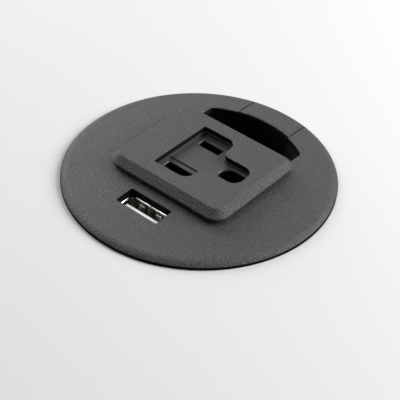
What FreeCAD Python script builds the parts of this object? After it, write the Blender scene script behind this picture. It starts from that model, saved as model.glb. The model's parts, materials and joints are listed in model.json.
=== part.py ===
import FreeCAD, Part
import math
import os
import re
import Sketcher

# In-desk power module: a round cover on the desk top with one earthed outlet, one USB port and a
# half-moon cable opening, on a barrel that a ring nut clamps from below the desk.
# Origin: centre of the cover's underside, on the desk. +Z up, +Y towards the cable opening, +X from
# the blade slots towards the ground hole. All sizes are millimetres.

SIZES = {
    # cover: a shallow dome whose edge rolls down to a thin upright rim
    "flange_radius": 35.5,
    "rim_height": 0.6,
    "shoulder_width": 2.5,
    "shoulder_height": 1.85,
    "crown_height": 2.75,
    "boss_radius": 2.5,
    "boss_depth": 7.3,
    "boss_inset": 2.85,
    "screw_row": 12.2,
    # half-moon cable opening
    "moon_chord": 17.6,
    "moon_end": 5.0504,
    "moon_chord_round": 1.2,
    "moon_arc_round": 1.5,
    "moon_edge": 0.45,
    # gate in the rim, lifted out so that a cord can be laid in from the side
    "gate_half": 8.4,
    "gate_gap": 0.2,
    "gate_edge": 0.9,
    "web_depth": 15,
    "web_half": 8.1,
    "web_thick": 0.8,
    "key_half": 7.2,
    "key_thick": 0.5,
    "slide_gap": 0.15,
    # barrel through the desk hole
    "barrel_radius": 29,
    "plain_length": 11.5,
    "thread_relief": 0.4,
    "barrel_wall": 1.35,
    "barrel_depth": 38,
    "barrel_lead": 0.8,
    "partition_thick": 2,
    "ear_radius": 3,
    "ear_thick": 2.7,
    # raised outlet block
    "block_y": 0.9,
    "face_long": 33.7,
    "face_wide": 27.8,
    "face_height": 6,
    "face_corner": 1.9,
    "face_slope": 1.9,
    "face_edge": 0.2,
    "lip_thick": 0.4,
    "skirt_inset": 0.8,
    "seat_height": 2.2,
    "plate_thick": 1.4,
    "window_inset": 0.4,
    "spigot_wall": 1.25,
    "spigot_depth": 2,
    "fit_gap": 0.1,
    "hook_reach": 0.6,
    "hook_long": 5,
    "hook_height": 1.4,
    # T-shaped opening in the block: a wide part over the blade slots, a tab over the ground hole
    "tee_left": -7.5,
    "tee_step": 3.5,
    "tee_end": 14,
    "tee_half": 9.95,
    "tab_half": 3.75,
    "tee_sharp": 0.4,
    "tee_corner": 3,
    "tee_fillet": 2,
    "tab_corner": 2.8,
    "tee_ledge": 0.25,
    # receptacle face under the opening
    "band_depth": 2.35,
    "band_step": 0.35,
    "band_half": 3.7,
    "floor_thick": 1.65,
    "blade_x": -2.35,
    "blade_pitch": 12.7,
    "slot_width": 2.1,
    "line_slot": 6.5,
    "neutral_slot": 8,
    "ground_half": 2.8,
    "ground_round": 8.95,
    "ground_end": 12.4,
    "pin_x": 9.55,
    "lead_in": 0.3,
    # contact carrier and its sprung brass clips
    "carrier_depth": 22,
    "carrier_corner": 1,
    "cavity_floor": 3,
    "cavity_long": 8.6,
    "cavity_wide": 6.2,
    "pin_cavity_long": 7.8,
    "clip_top": 3,
    "clip_thick": 0.7,
    "clip_flare": 2.0,
    "blade_gap": 0.55,
    "pin_flare": 3.0,
    "pin_gap": 2.2,
    "clip_throat": 4.5,
    "clip_waist": 9,
    "clip_width": 6.3,
    "pin_clip_width": 5.4,
    "tongue_thick": 0.8,
    "tongue_reach": 8,
    "carrier_inset_x": 3.1,
    "carrier_inset_y": 3.75,
    "screw_bite": 0.7,
    # USB port
    "usb_x": -0.35,
    "usb_y": -20.46,
    "usb_cut_long": 13.45,
    "usb_cut_wide": 5.85,
    "usb_cut_corner": 0.4,
    "shell_long": 13.1,
    "shell_wide": 5.64,
    "shell_corner": 0.7,
    "shell_wall": 0.3,
    "shell_top": 0.45,
    "shell_depth": 13.5,
    "lip_notch": 0.65,
    "shell_seam": 0.15,
    "far_lip": 10.4,
    "near_lip": 10.4,
    "side_lip": 2.8,
    "finger_spread": 5.6,
    "finger_width": 1.9,
    "finger_root": 8.6,
    "finger_bend": 2.1,
    "finger_tip": 0.9,
    "finger_reach": 0.75,
    "finger_slit": 0.3,
    "tab_long": 11.1,
    "tab_thick": 1.84,
    "tab_gap": 0.66,
    "tab_top": -0.05,
    "tab_bevel": 0.15,
    "tab_base": 2.3,
    "strip_width": 1.0,
    "strip_thick": 0.25,
    "strip_proud": 0.1,
    "strip_inner": 2,
    "strip_outer": 7,
    # charger board and what stands on it
    "board_half": 17.5,
    "board_top": 1.2,
    "board_clear": 3.8,
    "board_thick": 1.6,
    "guide_grip": 1.6,
    "guide_top": 13,
    "guide_cheek": 1.5,
    "guide_back": 0.75,
    "guide_floor": 0.5,
    "sheet_gap": 1.8,
    "sheet_thick": 0.3,
    "sheet_clear": 10,
    "transformer_x": -3,
    "transformer_long": 12,
    "transformer_deep": 7.2,
    "transformer_high": 11,
    "transformer_top": 16.2,
    "pillar_clear": 0.8,
    "winding_long": 7,
    "winding_proud": 0.8,
    "winding_round": 1.6,
    "yoke_width": 2,
    "input_x": 9.5,
    "input_radius": 3.15,
    "input_high": 11,
    "output_x": -13,
    "output_radius": 2.5,
    "output_high": 10,
    "can_top": 16,
    "can_gap": 0.3,
    "can_lead": 0.3,
    "lead_drop": 1.8,
    "groove_rise": 1.2,
    "groove_width": 0.6,
    # chips on the board: middle across, middle below the desk, width and height of each
    "chip_thick": 1.3,
    "bridge_x": -9,
    "bridge_down": 8,
    "bridge_wide": 5,
    "bridge_high": 4,
    "control_x": 1,
    "control_down": 9,
    "control_wide": 5,
    "control_high": 4,
    "switch_x": 9,
    "switch_down": 12,
    "switch_wide": 6.5,
    "switch_high": 6,
    "port_x": 1,
    "port_down": 18,
    "port_wide": 3,
    "port_high": 3,
    # leads from the outlet to the board
    "sleeve_wall": 0.45,
    "sleeve_high": 6.5,
    "crimp_radius": 1.5,
    "crimp_high": 4,
    "wire_radius": 0.8,
    "wire_rise": 7,
    "line_drop": 6,
    "neutral_drop": 3,
    "line_pad_x": -6,
    "neutral_pad_x": 3,
    # rear housing, its screws and the cord inlet in its floor
    "rear_relief": 0.6,
    "rear_depth": 14,
    "rear_wall": 2.2,
    "rim_rise": 3,
    "rim_thick": 1.2,
    "column_wall": 1.1,
    "column_web": 4,
    "screw_radius": 1.3,
    "head_radius": 2.6,
    "head_thick": 1.7,
    "screw_cover": 2,
    "tip_room": 0.3,
    "gland_y": -2,
    "gland_bore": 4.1,
    "gland_radius": 6,
    "gland_hex": 8.4,
    "gland_collar": 3,
    "gland_stub": 5,
    "stub_proud": 0.6,
    "locknut_high": 3.5,
    "seal_wall": 0.9,
    "seal_high": 3,
    "cap_radius": 7.6,
    "cap_mouth": 4.4,
    "cap_lip": 2.5,
    "cap_round": 1.8,
    "cap_step": 1,
    # seal under the cover, and the clamp below the desk
    "seal_step": 2.3,
    "seal_width": 2.2,
    "seal_thick": 0.8,
    "desk_thick": 25,
    "washer_thick": 1.2,
    "washer_gap": 0.35,
    "washer_width": 5.15,
    "nut_gap": 0.08,
    "nut_wall": 6.3,
    "nut_height": 8,
    "nut_collar": 1.6,
    "nut_lobes": 12,
    "scallop_radius": 4,
    "scallop_depth": 1.7,
}

# Sizes that follow from others, kept in the same sheet as formulas
FORMULAS = {
    "thread_radius": "barrel_radius - thread_relief",
    "barrel_bore": "thread_radius - barrel_wall",
    "boss_circle": "barrel_bore - boss_inset",
    "boss_row_x": "sqrt(boss_circle^2 - screw_row^2)",
    "moon_half": "sqrt(barrel_bore^2 - (moon_chord + moon_end)^2)",
    "rear_radius": "barrel_radius - rear_relief",
    "seal_inner": "barrel_radius + seal_step",
    "seal_outer": "seal_inner + seal_width",
    "window_long": "face_long - 2 * window_inset",
    "window_wide": "face_wide - 2 * window_inset",
    "carrier_screw_x": "window_long / 2 - fit_gap - spigot_wall - carrier_inset_x",
    "carrier_screw_y": "window_wide / 2 - fit_gap - spigot_wall - carrier_inset_y",
    # the pillars reach up to the transformer, and their screws stop inside them
    "pillar_height": "barrel_depth - transformer_top - transformer_high - pillar_clear",
    "screw_length": "column_web + pillar_height - screw_cover",
}

doc = FreeCAD.newDocument("desk_power_module")
sheet = doc.addObject("Spreadsheet::Sheet", "Sizes")
for row, (alias, size) in enumerate([*SIZES.items(), *FORMULAS.items()], start=1):
    sheet.set(f"A{row}", alias)
    sheet.set(f"B{row}", f"={size}")
    sheet.setAlias(f"B{row}", alias)
doc.recompute()

PAST = 1  # how far a cutting tool runs past the solid that it cuts
parts = []


# Sums of sizes, written as text, so that each measure stays bound to the sheet

def bound(text):
    """The same sum with each size read from the sheet."""
    names = {*SIZES, *FORMULAS}
    return re.sub(r"[a-z_]+", lambda word: f"Sizes.{word[0]}" if word[0] in names else word[0], str(text))


def number(text):
    """What a sum of sizes comes to now."""
    return float(sheet.evalExpression(str(text)))


def tie(thing, **sums):
    for name, text in sums.items():
        thing.setExpression(name, bound(text))
    return thing


def place(thing, x, y, z):
    for axis, text in zip("xyz", (x, y, z)):
        thing.setExpression(f"Placement.Base.{axis}", bound(text))
    return thing


def keep(thing, label):
    """Marks a finished sub-part under the name that its file gets."""
    thing.Label = label
    parts.append(thing)
    return thing


# Plain solids between named limits

def box(name, low, high):
    solid = doc.addObject("Part::Box", name)
    sides = [f"({top}) - ({bottom})" for bottom, top in zip(low, high)]
    return place(tie(solid, Length=sides[0], Width=sides[1], Height=sides[2]), *low)


def rod(name, radius, low, high, x=0, y=0):
    solid = doc.addObject("Part::Cylinder", name)
    return place(tie(solid, Radius=radius, Height=f"({high}) - ({low})"), x, y, low)


def hexagon(name, corner, low, high, x=0, y=0):
    solid = doc.addObject("Part::Prism", name)
    solid.Polygon = 6
    return place(tie(solid, Circumradius=corner, Height=f"({high}) - ({low})"), x, y, low)


def cut(name, base, *tools):
    for index, tool in enumerate(tools):
        step = doc.addObject("Part::Cut", f"{name}_{index}")
        step.Base = base
        step.Tool = tool
        base = step
    return base


def fuse(name, *shapes):
    joined = doc.addObject("Part::MultiFuse", name)
    joined.Shapes = list(shapes)
    joined.Refine = True
    return joined


def common(name, *shapes):
    shared = doc.addObject("Part::MultiCommon", name)
    shared.Shapes = list(shapes)
    return shared


def group(name, *shapes):
    together = doc.addObject("Part::Compound", name)
    together.Links = list(shapes)
    return together


def ring(name, inner, outer, low, high, x=0, y=0):
    hole = rod(f"{name}_hole", inner, f"({low}) - {PAST}", f"({high}) + {PAST}", x, y)
    return cut(name, rod(f"{name}_disc", outer, low, high, x, y), hole)


def half_disc(name, radius, flat, low, high):
    """A disc cut off by a flat wall on its +Y side."""
    side = box(f"{name}_side", (f"-({radius}) - {PAST}", f"-({radius}) - {PAST}", low),
               (f"({radius}) + {PAST}", flat, high))
    return common(name, rod(f"{name}_disc", radius, low, high), side)


def eased(name, base, size, wanted, kind="Part::Fillet"):
    """Rounds or bevels the edges that wanted picks."""
    doc.recompute()
    picked = [index for index, edge in enumerate(base.Shape.Edges, start=1) if wanted(edge)]
    soft = doc.addObject(kind, name)
    soft.Base = base
    soft.Edges = [(index, number(size), number(size)) for index in picked]
    return soft


def spread(edge):
    """The lowest and highest corner of an edge."""
    limits = edge.BoundBox
    return (limits.XMin, limits.YMin, limits.ZMin), (limits.XMax, limits.YMax, limits.ZMax)


def level(edge, text):
    """Whether an edge lies flat at a height."""
    low, high = spread(edge)
    return max(abs(low[2] - number(text)), abs(high[2] - number(text))) < 0.01


# Outlines in sketches. A corner is (x, y), or (x, y, radius) where it is rounded after the pad. The
# entry ("arc", radius) between two corners joins them by an arc that bulges outwards, on an outline
# drawn counterclockwise.

AXES = {"XY_Plane": (0, 1), "XZ_Plane": (0, 2), "YZ_Plane": (1, 2)}


def sketch_on(body, plane, offset):
    origin = next(feature for feature in body.Origin.OriginFeatures if feature.Role == plane)
    sketch = body.newObject("Sketcher::SketchObject", f"{body.Name}_outline")
    sketch.AttachmentSupport = [(origin, "")]
    sketch.MapMode = "FlatFace"
    return tie(sketch, **{"AttachmentOffset.Base.z": f"({offset}) * 1mm"})


def arc_between(start, end, radius):
    along = end - start
    right = FreeCAD.Vector(along.y, -along.x, 0).normalize()
    centre = (start + end) / 2 - right * math.sqrt(radius**2 - (along.Length / 2) ** 2)
    return Part.Arc(start, centre + right * radius, end)


def draw(sketch, outline):
    """Draws a closed outline and ties each corner and arc to the sheet."""
    corners = [entry[:2] for entry in outline if entry[0] != "arc"]
    arcs = {}
    for index, entry in enumerate(outline):
        if entry[0] == "arc":
            arcs[index - 1 - len(arcs)] = entry[1]
    spots = [FreeCAD.Vector(number(x), number(y), 0) for x, y in corners]
    starts = []
    for index, start in enumerate(spots):
        end = spots[(index + 1) % len(spots)]
        if index in arcs:
            edge = sketch.addGeometry(arc_between(start, end, number(arcs[index])))
        else:
            edge = sketch.addGeometry(Part.LineSegment(start, end))
        starts.append(1 if sketch.getPoint(edge, 1).distanceToPoint(start) < 1e-6 else 2)
    for index, (corner, first) in enumerate(zip(corners, starts)):
        after = (index + 1) % len(corners)
        sketch.addConstraint(Sketcher.Constraint("Coincident", index, 3 - first, after, starts[after]))
        for axis, text in zip("XY", corner):
            datum = Sketcher.Constraint(f"Distance{axis}", -1, 1, index, first, number(text))
            tie(sketch, **{f"Constraints[{sketch.addConstraint(datum)}]": text})
    for index, radius in arcs.items():
        datum = Sketcher.Constraint("Radius", index, number(radius))
        tie(sketch, **{f"Constraints[{sketch.addConstraint(datum)}]": radius})


def prism(name, plane, outline, low, high):
    """A pad of an outline between two levels, with its marked corners rounded."""
    body = doc.addObject("PartDesign::Body", name)
    sketch = sketch_on(body, plane, f"-({high})" if plane == "XZ_Plane" else low)
    draw(sketch, outline)
    pad = body.newObject("PartDesign::Pad", f"{name}_pad")
    pad.Profile = sketch
    tie(pad, Length=f"({high}) - ({low})")
    first, second = AXES[plane]
    rounded = [entry for entry in outline if len(entry) == 3]
    for radius in dict.fromkeys(entry[2] for entry in rounded):
        doc.recompute()
        before = body.Tip
        spots = [(number(x), number(y)) for x, y, size in rounded if size == radius]
        edges = []
        for index, edge in enumerate(before.Shape.Edges, start=1):
            ends = [(vertex.Point[first], vertex.Point[second]) for vertex in edge.Vertexes]
            if any(all(math.dist(end, spot) < 1e-4 for end in ends) for spot in spots):
                edges.append(f"Edge{index}")
        fillet = body.newObject("PartDesign::Fillet", f"{name}_round")
        fillet.Base = (before, edges)
        tie(fillet, Radius=radius)
    return body


def turned(name, outline):
    """An outline turned about the upright axis."""
    body = doc.addObject("PartDesign::Body", name)
    sketch = sketch_on(body, "XZ_Plane", 0)
    draw(sketch, outline)
    revolution = body.newObject("PartDesign::Revolution", f"{name}_turn")
    revolution.Profile = sketch
    revolution.ReferenceAxis = (sketch, ["V_Axis"])
    revolution.Angle = 360
    return body


def rectangle(half_long, half_wide, x=0, y=0, corner=None):
    """A rectangle about a centre, drawn counterclockwise."""
    tail = () if corner is None else (corner,)
    return [(f"({x}) {a} ({half_long})", f"({y}) {b} ({half_wide})", *tail)
            for a, b in (("-", "-"), ("+", "-"), ("+", "+"), ("-", "+"))]


def screw(name, x, y, seat, tip):
    """A screw driven up from below, its head under the seat."""
    head = rod(f"{name}_head", "head_radius", f"({seat}) - head_thick", seat, x, y)
    return fuse(name, head, rod(f"{name}_shank", "screw_radius", seat, tip, x, y))


def screw_holes(name, spots, low, high):
    holes = [rod(f"{name}_{i}", "screw_radius + fit_gap", low, high, x, y) for i, (x, y) in enumerate(spots)]
    return group(name, *holes)


# Levels and places that several pieces share

SHOULDER = "(flange_radius - shoulder_width)"
ROLL_DROP = "(shoulder_height - rim_height)"
CROWN_RISE = "(crown_height - shoulder_height)"
PLATE_BOTTOM = "face_height - plate_thick"
BAND_FLOOR = "(face_height - band_depth)"
FACE_BOTTOM = f"({BAND_FLOOR} - floor_thick)"
CAVITY_HALF = ("(window_long / 2 - fit_gap - spigot_wall)", "(window_wide / 2 - fit_gap - spigot_wall)")
CAVITY_BOTTOM = "(cavity_floor - carrier_depth)"
TONGUE_END = "(-carrier_depth - tongue_reach)"
NEUTRAL_Y = "block_y - blade_pitch / 2"
LINE_Y = "block_y + blade_pitch / 2"
BOARD_FACE = "(usb_y + shell_wide / 2)"
BOARD_BACK = f"({BOARD_FACE} + board_thick)"
BOARD_BOTTOM = "(board_clear - barrel_depth)"
SHEET_FACE = f"({BOARD_BACK} + sheet_gap)"
SHEET_BOTTOM = "(sheet_clear - barrel_depth)"
REAR_BOTTOM = "(-barrel_depth - rear_depth)"
GLAND_BOTTOM = f"({REAR_BOTTOM} - gland_collar - gland_stub)"
COLUMN_SEAT = "(-barrel_depth - column_web)"
WASHER_BOTTOM = "(-desk_thick - washer_thick)"
COVER_SPOTS = [("boss_row_x", "screw_row"), ("-boss_row_x", "screw_row"),
               ("-boss_row_x", "-screw_row"), ("boss_row_x", "-screw_row")]
REAR_SPOTS = [("boss_circle", 0), ("-boss_circle", 0), (0, "-boss_circle")]
CARRIER_SPOTS = [(f"{a}carrier_screw_x", f"block_y {b} carrier_screw_y")
                 for a, b in (("-", "-"), ("", "-"), ("", "+"), ("-", "+"))]


def dome(name):
    """The cover's section: upright rim, rolled shoulder and shallow crown."""
    roll = f"(shoulder_width^2 + {ROLL_DROP}^2) / (2 * {ROLL_DROP})"
    crown = f"({SHOULDER}^2 + {CROWN_RISE}^2) / (2 * {CROWN_RISE})"
    return turned(name, [(0, 0), ("flange_radius", 0), ("flange_radius", "rim_height"), ("arc", roll),
                         (SHOULDER, "shoulder_height"), ("arc", crown), (0, "crown_height")])


def moon_tool():
    """The half-moon: a chord, two short ends and the arc of the barrel's bore."""
    block = box("moon_block", ("-moon_half", "moon_chord", -PAST),
                ("moon_half", "flange_radius", f"crown_height + {PAST}"))
    disc = rod("moon_disc", "barrel_bore", -PAST, f"crown_height + {PAST}")

    def upright(edge):
        low, high = spread(edge)
        return high[0] - low[0] < 1e-4 and high[1] - low[1] < 1e-4

    def at_chord(edge):
        return upright(edge) and edge.Vertexes[0].Y < number("moon_chord") + 0.01

    def at_arc(edge):
        end = edge.Vertexes[0]
        outer = abs(abs(end.X) - number("moon_half")) < 0.01
        return upright(edge) and outer and end.Y > number("moon_chord + 2 * moon_chord_round")

    rounded = eased("moon_chord_rounds", common("moon_raw", block, disc), "moon_chord_round", at_chord)
    return eased("moon_rounds", rounded, "moon_arc_round", at_arc)


def make_top_cover():
    bosses = [rod(f"cover_boss_{i}", "boss_radius", "-boss_depth", "rim_height", x, y)
              for i, (x, y) in enumerate(COVER_SPOTS)]
    window = box("cover_window", ("-window_long / 2", "block_y - window_wide / 2", -PAST),
                 ("window_long / 2", "block_y + window_wide / 2", "face_height"))
    seat_half = [f"face_{side} / 2 + face_slope - skirt_inset + fit_gap" for side in ("long", "wide")]
    seat_corner = "face_corner + face_slope - skirt_inset + fit_gap"
    seat = prism("cover_seat", "XY_Plane", rectangle(*seat_half, 0, "block_y", seat_corner),
                 "seat_height", "face_height")
    usb_cut = prism("cover_usb_cut", "XY_Plane",
                    rectangle("usb_cut_long / 2", "usb_cut_wide / 2", "usb_x", "usb_y", "usb_cut_corner"),
                    -PAST, "face_height")
    gate_gap = box("cover_gate_gap", ("-gate_half - gate_gap", "moon_chord + moon_chord_round", -PAST),
                   ("gate_half + gate_gap", f"flange_radius + {PAST}", "face_height"))
    groove = ring("cover_groove", "seal_inner", "seal_outer", -PAST, "seal_thick")
    pilots = screw_holes("cover_pilots", COVER_SPOTS, f"-boss_depth - {PAST}", "rim_height")
    plain = cut("cover_cut", fuse("cover_solid", dome("cover_dome"), *bosses), window, seat, usb_cut,
                groove, pilots, moon_tool())

    def moon_rim(edge):
        low, high = spread(edge)
        inside = max(abs(low[0]), abs(high[0])) < number("moon_half") + 0.1
        return inside and low[1] > number("moon_chord") - 0.1 and low[2] > number("rim_height") and (
            math.hypot(edge.Vertexes[0].X, edge.Vertexes[0].Y) < number("barrel_bore") + 0.1)

    keep(cut("cover_open", eased("cover_moon_edge", plain, "moon_edge", moon_rim), gate_gap), "top_cover")


def make_cord_gate():
    """A slice of the cover's rim with a keyed web that slides in the barrel's wall."""
    slab = box("gate_slab", ("-gate_half", "moon_chord", 0),
               ("gate_half", f"flange_radius + {PAST}", "crown_height"))
    bore = rod("gate_bore", "barrel_bore", f"-web_depth - {PAST}", f"crown_height + {PAST}")
    top = cut("gate_top", common("gate_slice", dome("gate_dome"), slab), bore)

    def inner_edge(edge):
        middle = edge.CenterOfMass
        low, high = spread(edge)
        return low[2] > number("shoulder_height") and high[0] - low[0] > number("gate_half") and (
            middle.y < number("barrel_bore") + 0.1)

    soft = eased("gate_soft", top, "gate_edge", inner_edge)
    layers = []
    inner = "barrel_bore"
    for name in ("web", "key"):
        half, outer = f"{name}_half", f"{inner} + {name}_thick"
        band = ring(f"gate_{name}_ring", inner, outer, "-web_depth", "rim_height")
        side = box(f"gate_{name}_side", (f"-{half}", "moon_chord", "-web_depth"),
                   (half, "flange_radius", "rim_height"))
        layers.append(common(f"gate_{name}", band, side))
        inner = outer
    keep(fuse("gate_joined", soft, *layers), "cord_gate")


def tee(inset):
    """The T outline, drawn in by an inset all round."""
    left, step, end = f"tee_left + ({inset})", f"tee_step - ({inset})", f"tee_end - ({inset})"
    wide, narrow = f"(tee_half - ({inset}))", f"(tab_half - ({inset}))"
    sharp, corner, tab = "tee_sharp", f"tee_corner - ({inset})", f"tab_corner - ({inset})"
    inner = f"tee_fillet + ({inset})"
    return [(left, f"block_y - {wide}", sharp), (step, f"block_y - {wide}", corner),
            (step, f"block_y - {narrow}", inner), (end, f"block_y - {narrow}", tab),
            (end, f"block_y + {narrow}", tab), (step, f"block_y + {narrow}", inner),
            (step, f"block_y + {wide}", corner), (left, f"block_y + {wide}", sharp)]


def make_outlet_bezel():
    """The raised block: sloped edges, a recessed skirt for a shadow gap, and a spigot with snap hooks."""
    half = ["face_long / 2 + face_slope", "face_wide / 2 + face_slope"]
    skirt_half = [f"{side} - skirt_inset" for side in half]
    lip_bottom = "face_height - face_slope - lip_thick"
    block = prism("bezel_block", "XY_Plane", rectangle(*half, 0, "block_y", "face_corner + face_slope"),
                  lip_bottom, "face_height")
    sloped = eased("bezel_sloped", block, "face_slope", lambda edge: level(edge, "face_height"),
                   "Part::Chamfer")
    crisp = eased("bezel_crisp", sloped, "face_edge",
                  lambda edge: level(edge, "face_height") or level(edge, "face_height - face_slope"))
    skirt = prism("bezel_skirt", "XY_Plane",
                  rectangle(*skirt_half, 0, "block_y", "face_corner + face_slope - skirt_inset"),
                  "seat_height", "face_height - face_slope")
    spigot_half = ["(window_long / 2 - fit_gap)", "(window_wide / 2 - fit_gap)"]
    spigot = box("bezel_spigot", (f"-{spigot_half[0]}", f"block_y - {spigot_half[1]}", "-spigot_depth"),
                 (spigot_half[0], f"block_y + {spigot_half[1]}", PLATE_BOTTOM))
    hooks = []
    for index, (side, x) in enumerate([(a, b) for a in ("-", "+") for b in ("-", "+")]):
        face = f"block_y {side} {spigot_half[1]}"
        out = f"{face} {side} hook_reach"
        low, high = "-hook_height - fit_gap", "-fit_gap"
        wedge = [(face, low), (out, high), (face, high)]
        wedge = wedge if side == "+" else wedge[::-1]
        middle = f"{x}window_long / 4"
        hooks.append(prism(f"bezel_hook_{index}", "YZ_Plane", wedge, f"({middle}) - hook_long / 2",
                           f"({middle}) + hook_long / 2"))
    cavity_low = (f"-{CAVITY_HALF[0]}", f"block_y - {CAVITY_HALF[1]}", f"-spigot_depth - {PAST}")
    cavity = box("bezel_cavity", cavity_low, (CAVITY_HALF[0], f"block_y + {CAVITY_HALF[1]}", PLATE_BOTTOM))
    opening = prism("bezel_opening", "XY_Plane", tee(0), f"{PLATE_BOTTOM} - {PAST}", f"face_height + {PAST}")
    pilots = screw_holes("bezel_pilots", CARRIER_SPOTS, f"{PLATE_BOTTOM} - {PAST}",
                         f"{PLATE_BOTTOM} + screw_bite + fit_gap")
    solid = fuse("bezel_solid", crisp, skirt, spigot, *hooks)
    keep(cut("bezel_cut", solid, cavity, opening, pilots), "outlet_bezel")


def slot_tools(low, high):
    """The two blade slots and the U-shaped ground hole."""
    tools = []
    for name, long, y in (("line", "line_slot", LINE_Y), ("neutral", "neutral_slot", NEUTRAL_Y)):
        tools.append(box(f"slot_{name}", (f"blade_x - {long} / 2", f"{y} - slot_width / 2", low),
                         (f"blade_x + {long} / 2", f"{y} + slot_width / 2", high)))
    round_end = rod("slot_ground_round", "ground_half", low, high, "ground_round", "block_y")
    near, far = "block_y - ground_half", "block_y + ground_half"
    flat_end = prism("slot_ground_flat", "XY_Plane",
                     [("ground_round", near), ("ground_end", near, "tee_sharp"),
                      ("ground_end", far, "tee_sharp"), ("ground_round", far)], low, high)
    return tools + [fuse("slot_ground", round_end, flat_end)]


def make_outlet_face():
    """The receptacle's moulded face: side bands, a raised middle band, slots and ground hole."""
    half = [f"{side} - fit_gap" for side in CAVITY_HALF]
    slab = box("face_slab", (f"-({half[0]})", f"block_y - ({half[1]})", FACE_BOTTOM),
               (half[0], f"block_y + ({half[1]})", PLATE_BOTTOM))
    recess = prism("face_recess", "XY_Plane", tee("tee_ledge"), BAND_FLOOR, "face_height")
    middle = box("face_middle", ("tee_left", "block_y - band_half", BAND_FLOOR),
                 ("tee_end", "block_y + band_half", f"{BAND_FLOOR} + band_step"))
    holes = slot_tools(f"{FACE_BOTTOM} - {PAST}", "face_height")
    passages = screw_holes("face_passages", CARRIER_SPOTS, f"{FACE_BOTTOM} - {PAST}", "face_height")
    plain = cut("face_cut", slab, cut("face_recess_low", recess, middle), *holes, passages)

    def slot_mouth(edge):
        low, high = spread(edge)
        from_slot = abs(abs((low[1] + high[1]) / 2 - number("block_y")) - number("blade_pitch / 2"))
        beside = low[0] > number("tee_left + 2 * tee_ledge") and high[0] < number("tee_step - 2 * tee_ledge")
        return level(edge, BAND_FLOOR) and beside and from_slot < number("slot_width")

    def ground_mouth(edge):
        low, high = spread(edge)
        reach = max(abs(y - number("block_y")) for y in (low[1], high[1]))
        beside = low[0] > number("tee_step") and high[0] < number("ground_end") + 0.01
        return level(edge, f"{BAND_FLOOR} + band_step") and beside and reach < number("ground_half") + 0.01

    mouths = eased("face_mouths", plain, "lead_in", lambda edge: slot_mouth(edge) or ground_mouth(edge),
                   "Part::Chamfer")
    keep(mouths, "outlet_face")


def make_contact_carrier():
    half = [f"({side} - 2 * fit_gap)" for side in CAVITY_HALF]
    block = prism("carrier_block", "XY_Plane", rectangle(*half, 0, "block_y", "carrier_corner"),
                  "-carrier_depth", FACE_BOTTOM)
    pockets = []
    for name, x, y, long, slot_long, slot_wide in (
            ("line", "blade_x", LINE_Y, "cavity_long", "clip_width", "tongue_thick"),
            ("neutral", "blade_x", NEUTRAL_Y, "cavity_long", "clip_width", "tongue_thick"),
            ("ground", "pin_x", "block_y", "pin_cavity_long", "tongue_thick", "pin_clip_width")):
        pockets.append(box(f"cavity_{name}", (f"{x} - {long} / 2", f"{y} - cavity_wide / 2", CAVITY_BOTTOM),
                           (f"{x} + {long} / 2", f"{y} + cavity_wide / 2", "face_height")))
        slit_half = (f"({slot_long} / 2 + fit_gap)", f"({slot_wide} / 2 + fit_gap)")
        slit_low = (f"{x} - {slit_half[0]}", f"{y} - {slit_half[1]}", f"-carrier_depth - {PAST}")
        pockets.append(box(f"slit_{name}", slit_low, (f"{x} + {slit_half[0]}", f"{y} + {slit_half[1]}", 0)))
    passages = screw_holes("carrier_passages", CARRIER_SPOTS, f"-carrier_depth - {PAST}", "face_height")
    keep(cut("carrier_cut", block, *pockets, passages), "contact_carrier")


def clip_outline(centre, flare, gap):
    """A strip bent to a U: flared mouth, pinched throat, and legs down to the cavity's floor."""
    top = f"{FACE_BOTTOM} - clip_top"
    leg = f"({gap} + clip_thick)"
    stations = [(flare, top), (gap, "-clip_throat"), (leg, "-clip_waist")]
    right_out = [(f"({centre}) + {x} + clip_thick", z) for x, z in stations[::-1]]
    right_in = [(f"({centre}) + {x}", z) for x, z in stations]
    left_in = [(f"({centre}) - {x}", z) for x, z in stations[::-1]]
    left_out = [(f"({centre}) - {x} - clip_thick", z) for x, z in stations]
    web = f"{CAVITY_BOTTOM} + clip_thick"
    feet = [(f"({centre}) {side} {leg} {side} clip_thick", CAVITY_BOTTOM) for side in "-+"]
    floor = [(f"({centre}) + {leg}", web), (f"({centre}) - {leg}", web)]
    return [*feet, *right_out, *right_in, *floor, *left_in, *left_out]


def tongue_solid(name, low, high):
    """A flat tab whose end corners are cut for the terminal to slide on."""
    flat = box(name, low, high)
    doc.recompute()
    end = number(low[2])

    def end_corner(edge):
        limits = edge.BoundBox
        wide = max(flat.Shape.BoundBox.XLength, flat.Shape.BoundBox.YLength)
        return abs(limits.ZMax - end) < 1e-4 and max(limits.XLength, limits.YLength) < wide / 2

    return eased(f"{name}_cut", flat, "clip_thick", end_corner, "Part::Chamfer")


def make_contacts():
    tongue_top = f"{CAVITY_BOTTOM} + clip_thick / 2"
    left, right = "blade_x - clip_width / 2", "blade_x + clip_width / 2"
    for name, y in (("line", LINE_Y), ("neutral", NEUTRAL_Y)):
        clip = prism(f"{name}_clip", "YZ_Plane", clip_outline(y, "clip_flare", "blade_gap"), left, right)
        tongue = tongue_solid(f"{name}_tongue", (left, f"{y} - tongue_thick / 2", TONGUE_END),
                              (right, f"{y} + tongue_thick / 2", tongue_top))
        keep(fuse(f"{name}_joined", clip, tongue), f"{name}_contact")
    near, far = "block_y - pin_clip_width / 2", "block_y + pin_clip_width / 2"
    outline = clip_outline("pin_x", "pin_flare", "pin_gap - clip_thick")
    clip = prism("ground_clip", "XZ_Plane", outline, near, far)
    tongue = tongue_solid("ground_tongue", ("pin_x - tongue_thick / 2", near, TONGUE_END),
                          ("pin_x + tongue_thick / 2", far, tongue_top))
    keep(fuse("ground_joined", clip, tongue), "ground_contact")


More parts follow.
